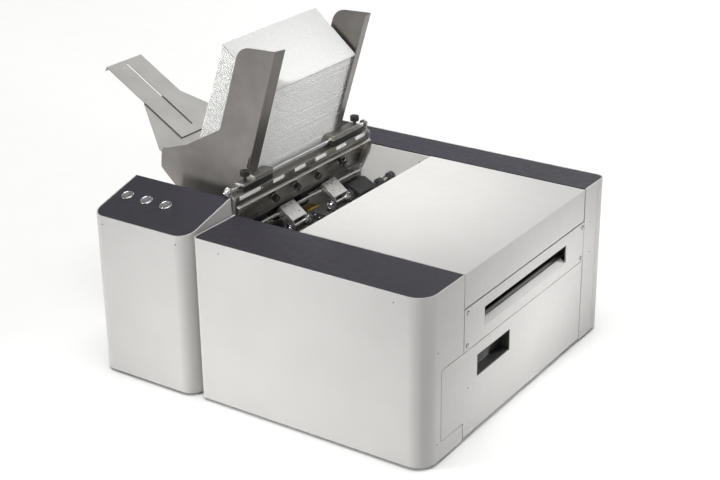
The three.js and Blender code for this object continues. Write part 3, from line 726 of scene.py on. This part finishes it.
def envelope_run(name, first, last, material):
    build = bmesh.new()
    for k in range(first, last):
        add_envelope(build, k / ENVELOPE_COUNT, (k + 1) / ENVELOPE_COUNT)
    bmesh.ops.recalc_face_normals(build, faces=build.faces)
    mesh = bpy.data.meshes.new(name)
    build.to_mesh(mesh)
    build.free()
    new_piece(name, mesh, material, "envelope_stack", ["envelope_stack"],
              sharp=50)
    print(last - first, "in", name, "with", len(mesh.polygons), "faces")


envelope_run("envelopes", 0, ENVELOPE_COUNT - 1, envelope_paper)
envelope_run("top_envelope", ENVELOPE_COUNT - 1, ENVELOPE_COUNT, top_paper_painted_shade)

# %% [markdown]
# ## Push buttons
# The three buttons are 22 mm stainless push buttons: a turned bezel with a rounded rim, a dark
# running gap, and a cap whose face is dished so that a finger finds its middle. The joint's
# axis points into the panel, so its opposite is the way the profiles are spun.

# %% Push buttons
press_axis = next(Vector(j["axis"]) for j in frame["joints"] if j["name"] == "stop_button_press")
PANEL_OUT = -press_axis.normalized()
CAP_TOP = 1.2                    # how far the caps stand above the panel
CAP_LENGTH = 17.2
dish = [(7.9 * k / 6, 0.35 + 0.75 * (k / 6) ** 2) for k in range(7)]
cap_profile = [
    (0, CAP_TOP - CAP_LENGTH), (8.6, CAP_TOP - CAP_LENGTH), (8.9, -15.6), (8.9, 0.7),
    (8.75, 1.05), (8.4, CAP_TOP), *reversed(dish)]
bezel_profile = [
    (9.5, -20), (9.5, 0.9), (9.7, 1.5), (10.2, 1.85), (10.9, 2.0), (11.6, 1.8), (12.1, 1.3),
    (12.35, 0.6), (12.35, 0.25), (10.8, 0.2), (10.8, -20)]
bezels = []
for name in ("stop_button", "feed_button", "start_button"):
    on_panel = sum(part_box(name), Vector()) / 2 + PANEL_OUT * (CAP_LENGTH / 2 - CAP_TOP) * MM
    seat = facing(on_panel, PANEL_OUT)
    cap = placed(spun(cap_profile), seat)
    new_piece(name + "_cap", cap, turned_steel, name, [name])
    bezels.append(placed(spun(bezel_profile), seat))
new_piece("button_bezels", joined(*bezels), turned_steel, "machine",
          ["button_carrier"])

# %% [markdown]
# ## Pinch rollers
# Each sprung arm carries two rollers on one ground axle. A roller is a rubber tyre pressed on a
# turned hub, and the hub's outer rim and its boss catch the light as bright rings.

# %% Pinch rollers
HALF_WIDTH = 4.0
wheel_low, wheel_high = box_mm("near_pinch_rollers")
TYRE_R = (wheel_high.z - wheel_low.z) / 2
HUB_R = TYRE_R - 2.6
tyre_side = [(TYRE_R, HALF_WIDTH - 0.7), (TYRE_R - 0.7, HALF_WIDTH), (HUB_R, HALF_WIDTH - 0.2)]
tyre_profile = [(radius, -height) for radius, height in reversed(tyre_side)] + tyre_side
hub_face = [(3.1, 4.6), (4.4, 4.6), (4.7, 4.3), (4.9, 2.2), (HUB_R - 1.6, 2.2), (HUB_R - 1.4, 4.1),
            (HUB_R - 1.1, 4.5), (HUB_R - 0.4, 4.5), (HUB_R - 0.02, 4.0)]
hub_profile = hub_face + [(radius, -height) for radius, height in reversed(hub_face)]
for where in ("near", "far"):
    node = f"{where}_pinch_rollers"
    low, high = box_mm(node)
    centre = middle_mm(node)
    offset = (high.y - low.y) / 2 - 2 - HALF_WIDTH
    tyres, hubs = [], []
    for side in (-offset, offset):
        seat = facing(at(centre.x, centre.y + side, centre.z), Y)
        tyres.append(placed(spun(tyre_profile), seat))
        hubs.append(placed(spun(hub_profile), seat))
    axle_seat = facing(at(centre.x, low.y, centre.z), Y)
    hubs.append(placed(spun(rod(3.0, high.y - low.y)), axle_seat))
    new_piece(f"{where}_pinch_tyres", joined(*tyres), black_rubber, node, [node])
    new_piece(f"{where}_pinch_hubs", joined(*hubs), polished_steel, node)

# %% [markdown]
# ## Gate
# The gate is one folded sheet: its top edge turns forward as a stiff lip, its two ends turn
# forward as fixing flanges, and slots let the separators slide. It leans, so it is drawn in a
# frame of its own: across the machine, up the sheet, and out of its front. The lip gets a
# lighter copy of the sheet's stainless, which is a painted highlight along the fold.

# %% Gate
star_joint = next(j for j in frame["joints"] if j["name"] == "star_knob_turn")
gate_axis = Vector(star_joint["axis"]).normalized()
gate_up = gate_axis.cross(Y)
KNOB_OUT, STAR_UP = 8, 42        # knob joints stand out from the sheet; the star's height
star_place = (Vector(star_joint["pos_m"]) - CORNER) / MM
gate_foot = star_place - gate_axis * KNOB_OUT - gate_up * STAR_UP
gate_frame = Matrix.Translation(at(gate_foot.x, 0, gate_foot.z)) @ Matrix((
    Y, gate_up, gate_axis)).transposed().to_4x4()
gate_low, gate_high = box_mm("gate_plate")
GATE_H, GATE_T = 68, 2


def gate_shift(y=0.0, up=0.0, out=0.0):
    return gate_frame @ Matrix.Translation(Vector((y, up, out)) * MM)


slots = [box_outline(y - 2.8, y + 2.8, 26, 50, 2.7) for y in (
    middle_mm(f"separator_{k}").y for k in (1, 2, 3))]
holes = [circle(star_place.y, STAR_UP, 4)]
face_outline = box_outline(gate_low.y, gate_high.y, 0, GATE_H, 0.6)
face = placed(plate_mesh(face_outline, slots + holes, GATE_T), gate_shift(out=-GATE_T))
lip = placed(plate_mesh(box_outline(gate_low.y, gate_high.y, 0.2, 9.5, 0.9), [], GATE_T),
             gate_shift(up=GATE_H) @ Matrix.Rotation(math.radians(90), 4, "X"))
flange_outline = box_outline(-1, 13, 4, GATE_H - 0.5, 2)
flanges = [placed(plate_mesh(flange_outline, [], GATE_T),
                  gate_shift(y=y) @ Matrix.Rotation(math.radians(-90), 4, "Y"))
           for y in (gate_low.y + GATE_T, gate_high.y)]
new_piece("folded_gate", joined(face, *flanges), gate_steel, "machine",
          ["gate_plate"])
# The lip's lighter stainless is a painted highlight.
new_piece("gate_lip", lip, lip_steel_painted_highlight, "machine")
gate_screws = [placed(screw_mesh(3.2, 1.7), gate_shift(y, up))
               for y in (160, 530) for up in (12, 56)]
new_piece("gate_screws", joined(*gate_screws), polished_steel, "machine")

# %% [markdown]
# ## Knobs
# The clamp knobs are fluted ABS, the separators' knobs are smaller and sit on bright washers,
# and the gate's main knob is a five-lobed star. Each is a spun profile with a crowned top and
# an inset that hides the screw, and the lobes fade towards the middle.

# %% Knobs


def grip_profile(radius, foot, height, stem=0.0):
    """A knob from foot to height, with a crowned and inset top."""
    top = foot + height
    start = [(0, foot - stem), (radius * 0.36, foot - stem)] if stem else [(0, foot)]
    if stem:
        start.append((radius * 0.36, foot))
    return start + [
        (radius * 0.9, foot), (radius, foot + 0.8), (radius, top - 1.6),
        (radius * 0.95, top - 0.6), (radius * 0.84, top), (radius * 0.5, top + 0.3),
        (radius * 0.46, top - 0.4), (0, top - 0.5)]


for where in ("near", "far"):
    node = f"{where}_clamp_knob"
    low, high = box_mm(node)
    centre = middle_mm(node)
    seat = facing(at(centre.x, centre.y, low.z), Z)
    shape = spun(grip_profile(9, 4.2, 11.4, 10.2), 96, 12, 1.6)
    new_piece(node + "_grip", placed(shape, seat), black_moulding, node, [node])

for k in (1, 2, 3):
    node = f"separator_knob_{k}"
    joint = next(j for j in frame["joints"] if j["name"] == f"separator_{k}_knob_turn")
    seat = facing(Vector(joint["pos_m"]) - gate_axis * KNOB_OUT * MM, gate_axis)
    washer = [(2.5, 0.4), (8.2, 0.4), (8.6, 0.7), (8.6, 1.3), (8.3, 1.6), (2.5, 1.6)]
    shape = spun(grip_profile(7.5, 2.0, 10.8), 80, 10, 1.1)
    new_piece(node + "_grip", placed(shape, seat), black_moulding, node, [node])
    new_piece(node + "_washer", placed(spun(washer), seat), polished_steel, node)
star_seat = facing(Vector(star_joint["pos_m"]) - gate_axis * KNOB_OUT * MM, gate_axis)
star = placed(spun(grip_profile(11, 5, 8.6, 12.5), 100, 5, 4.2), star_seat)
new_piece("star_knob_grip", star, black_moulding, "star_knob", ["star_knob"])

# %% [markdown]
# ## Crossbar
# The bar carries the rod in two cheeks, which narrow to a round eye at the rod's end. A milled
# bar has fine cutter marks along it and small chamfers.

# %% Crossbar
bar_low, bar_high = box_mm("crossbar")
CHEEK_T = 4
bar_length = bar_high.y - bar_low.y - 2 * CHEEK_T
bar = placed(plate_mesh(box_outline(-511, -487, 334, 350, 0.8), [], bar_length, 0.4),
             sideways(bar_high.y - CHEEK_T))
cheek_outline = rounded([
    (-518, 296, 12), (-486, 296, 12), (-486, 346, 5), (-494, 350, 4), (-494, 367.5, 7.5),
    (-510, 367.5, 7.5), (-510, 346, 3), (-518, 338, 3)])
cheeks = [placed(plate_mesh(cheek_outline, [circle(-502, 359, 4.9)], CHEEK_T, 0.5), sideways(y))
          for y in (bar_low.y + CHEEK_T, bar_high.y)]
new_piece("crossbar_with_cheeks", joined(bar, *cheeks), bar_steel, "machine",
          ["crossbar"])

# %% [markdown]
# ## Guide carriers
# Each side guide hangs on a carrier that slides on the rod. A carrier is a milled plate with a
# raised block where the guide is screwed on, over a black sliding body that rides the rod.

# %% Guide carriers
BODY_TOP, PLATE_TOP = 361.5, 366.0
# Plates drawn with (y, x), growing downwards.
DOWNWARDS = Matrix(((0, 1, 0, 0), (1, 0, 0, 0), (0, 0, -1, 0), (0, 0, 0, 1)))
for where, body, raised in (("near", "near_guide", (191, 247)), ("far", "far_guide", (447, 534))):
    node = f"{where}_carrier"
    low, high = box_mm(node)
    plate = plate_mesh(
        box_outline(low.y, high.y, low.x, high.x, 1.5), [], PLATE_TOP - BODY_TOP, 0.7)
    block = plate_mesh(
        box_outline(*raised, low.x, high.x, 2.0), [], high.z - PLATE_TOP + 0.2, 0.9)
    plate = placed(plate, Matrix.Translation(at(0, 0, PLATE_TOP)) @ DOWNWARDS)
    block = placed(block, Matrix.Translation(at(0, 0, high.z)) @ DOWNWARDS)
    new_piece(f"{where}_carrier_plate", joined(plate, block), carrier_aluminium, body,
              [node])
    slider = box_outline(low.x + 1, high.x - 1.5, low.z, BODY_TOP, 1.2)
    shape = placed(plate_mesh(slider, [], high.y - low.y - 2, 0.5),
                   sideways(high.y - 1))
    new_piece(f"{where}_carrier_slider", shape, black_moulding, body)

# %% [markdown]
# ## Feeder fittings
# Round the gate stand the small fittings that a feeder needs: domed nuts on the ends of the
# rod, a pressed boss on each cheek, a polyimide wear pad and a sensor board on the deck, the
# bearing blocks of the drive shaft, and a short skew roller by the rear wall.

# %% Feeder fittings
nut = [(0, 0), (6.2, 0), (6.6, 0.5), (6.6, 4.2), (6.0, 5.0),
       *[(5.4 * math.cos(math.radians(a)), 5.0 + 5.6 * math.sin(math.radians(a)))
         for a in range(0, 90, 15)], (0, 10.6)]
rod_middle = middle_mm("guide_rod")
rod_seats = [(bar_low.y, -Y), (bar_high.y, Y)]
nuts = [placed(spun(nut), facing(at(rod_middle.x, y, rod_middle.z), axis))
        for y, axis in rod_seats]
new_piece("rod_end_nuts", joined(*nuts), polished_steel, "machine")
boss = [(4.6, 0), (4.6, 1.6), (5.2, 2.2), (6.6, 2.2), (7.4, 1.6), (7.8, 0)]
bosses = [placed(spun(boss), facing(at(-500, y, 318), axis)) for y, axis in rod_seats]
new_piece("cheek_bosses", joined(*bosses), polished_steel, "machine")

pad = placed(plate_mesh(box_outline(-550, -519, 400, 434, 1.5), [], 1.2, 0.2),
             Matrix.Translation(at(0, 0, 222.2)))
new_piece("wear_pad", pad, amber_polyimide, "machine")
board = placed(plate_mesh(box_outline(-516, -470, 372, 396, 1.5), [], 1.6, 0.2),
               Matrix.Translation(at(0, 0, 222.4)))
new_piece("sensor_board", board, black_moulding, "machine")
sensors = [placed(screw_mesh(2.0, 1.6), facing(at(x, y, 224), Z)) for x, y in (
    (-508, 378), (-496, 388), (-480, 380))]
new_piece("sensor_lenses", joined(*sensors), polished_steel, "machine")

ledge_outline = rounded([(-545, 250), (-512, 250, 2), (-512, 236), (-510, 236), (-510, 252, 2),
                         (-545, 252)])
ledges = [placed(plate_mesh(ledge_outline, [], high_y - low_y, 0.3), sideways(high_y))
          for low_y, high_y in ((128, 176), (506, 573))]
new_piece("rail_ledges", joined(*ledges), stainless_painted_shade, "machine")
block_outline = rounded([
    (-507, 222.3), (-507, 246, 3), (-498, 246, 3), (-470, 232, 3), (-470, 222.3)])
blocks = [placed(plate_mesh(block_outline, [], high_y - low_y, 0.6), sideways(high_y))
          for low_y, high_y in ((140, 262), (512, 570))]
new_piece("bearing_blocks", joined(*blocks), black_moulding, "machine")

SKEW_X, SKEW_Z = -434, 259
skew_shaft = placed(spun(rod(3.4, 50)), facing(at(SKEW_X, 524, SKEW_Z), Y))
new_piece("skew_roller_shaft", skew_shaft, polished_steel, "machine")
tread = [(3.5, 0), (9.2, 0), (10, 0.8), (10, 11.2), (9.2, 12), (3.5, 12)]
treads = [placed(spun(tread), facing(at(SKEW_X, y, SKEW_Z), Y)) for y in (520, 561)]
new_piece("skew_roller_treads", joined(*treads), black_rubber, "machine")
arm_outline = rounded([(-446, 223), (-446, 262, 8), (-424, 262, 8), (-418, 223)])
arm = placed(plate_mesh(arm_outline, [], 4, 0.6), sideways(559))
new_piece("skew_roller_arm", arm, black_moulding, "machine")

for where in ("near", "far"):
    lift = next(j for j in frame["joints"] if j["name"] == f"{where}_pinch_lift")
    spin = next(j for j in frame["joints"] if j["name"] == f"{where}_pinch_spin")
    pivot, axle = Vector(lift["pos_m"]), Vector(spin["pos_m"])
    along = (axle - pivot).normalized()
    square = along.cross(Y) if along.cross(Y).z > 0 else -along.cross(Y)
    heads = []
    for reach, aside in ((19, -12), (19, 12), (3, 0)):
        spot = pivot + (along * reach + square * 12 + Y * aside) * MM
        heads.append(placed(screw_mesh(2.6, 1.0), facing(spot, square)))
    new_piece(f"{where}_bracket_screws", joined(*heads), turned_steel,
              f"{where}_pinch_bracket")

# %% [markdown]
# ## Ruler
# A ruler along the crossbar shows how far apart the guides stand. It is a grey strip with
# white graduated plates between its screws, and the graduations are printed lines: a wave
# across the strip, drawn 2 mm apart so that it shows.

# %% Ruler


def ruled_enamel(name):
    material, tree, shader = start_finish(name, 0.4, ior=1.5)
    place = millimetres(tree)
    depth = add(tree, "SeparateXYZ", {"Vector": place}).outputs["Y"]
    step = add(tree, "Math", {0: depth, 1: 2.0}, operation="MODULO").outputs["Value"]
    size = add(tree, "Math", {0: step}, operation="ABSOLUTE").outputs["Value"]
    line = add(tree, "Math", {0: size, 1: 0.55}, operation="LESS_THAN").outputs["Value"]
    colour = add(tree, "Mix", {
        "Factor": line, "A": linear("#F0EFEC"), "B": linear("#4A4A4A")}, data_type="RGBA")
    tree.links.new(colour.outputs["Result"], shader.inputs["Base Color"])
    relief(tree, shader, noise(tree, place, 1.2, 2), 0.01)
    return material


ruler_low, ruler_high = box_mm("ruler_strip")
grey_anodised = blasted("grey_anodised_aluminium", "#86847F", "#94928D", 0.42)
ruler_white = ruled_enamel("ruled_white_enamel")
RULER_PLATES = [(ruler_low.y + 1, 202)] + [(242 + 69 * k, 275 + 69 * k) for k in range(5)]
strip = plate_mesh(box_outline(ruler_low.y, ruler_high.y, ruler_low.z, ruler_high.z - 0.2), [], 1.7)
new_piece("ruler_back", placed(strip, facing_x(ruler_low.x)), grey_anodised, "machine",
          ["ruler_strip"])
plates = [placed(plate_mesh(
    box_outline(low_y, high_y, ruler_low.z + 4.5, ruler_high.z - 1, 0.6), [], 0.6, 0.15),
    facing_x(ruler_low.x + 1.6)) for low_y, high_y in RULER_PLATES]
new_piece("ruler_plates", joined(*plates), ruler_white, "machine")

# %% [markdown]
# ## Screws and pins
# The delivery panel hangs on four domed screws over dark washers. Smaller flush pins hold the
# covers' inner frames; each is a shallow turned button. A screw's recess is pressed into its
# dome.

# %% Screws and pins
panel_corners = [(0, 136, 244), (0, 570, 244), (0, 135, 182), (0, 568, 181)]
washer = [(0, 0), (4.4, 0), (4.4, 0.3), (4.0, 0.6), (0, 0.6)]
washers = [placed(spun(washer), facing(at(*spot), X)) for spot in panel_corners]
new_piece("delivery_panel_washers", joined(*washers), black_moulding, "machine")
fastened("delivery_panel_screws", [(0.5, y, z) for x, y, z in panel_corners],
         X, 3.0, 1.5, turned_steel, "machine")
fastened("delivery_panel_pins", [(0, 144, 250), (0, 562, 250)],
         X, 1.3, 0.5, polished_steel, "machine")
fastened("side_pins", [(0, 39, 210), (0, 37, 36), (0, 602, 244), (0, 604, 181)],
         X, 1.4, 0.5, black_moulding, "machine")
fastened("door_pin", [(0, 140, 98)], X, 1.4, 0.5, black_moulding, "side_door")
fastened("front_pins", [(-427, 0, 302), (-63, 0, 303), (-693, -7, 300.6), (-519, -7, 300.5)],
         -Y, 1.3, 0.5, black_moulding, "machine")
fastened("inner_wall_pins", [(-500, 574.5, 289), (-368, 574.5, 300)],
         -Y, 2.0, 0.8, black_moulding, "machine")
fastened("ruler_screws", [(ruler_high.x - 0.3, 208.5 + 69 * k, 344.5) for k in range(5)],
         X, 1.9, 0.9, polished_steel, "machine")

# %% [markdown]
# ## Floor
# A plain pale floor, wide enough that its edge never shows.

# %% Floor
REACH = 60                       # metres from the middle to each edge
floor_mesh = bpy.data.meshes.new("floor")
floor_mesh.from_pydata(
    [(-REACH, -REACH, 0), (REACH, -REACH, 0), (REACH, REACH, 0), (-REACH, REACH, 0)], [],
    [(0, 1, 2, 3)])
floor = bpy.data.objects.new("floor", floor_mesh)
floor.location.z = cad_box[0].z
bpy.context.scene.collection.objects.link(floor)
pale_floor = coat("pale_studio_floor", "#F6F6F5", "#F7F7F6", 0.6, 3.0, 0.01)
floor_mesh.materials.append(pale_floor)
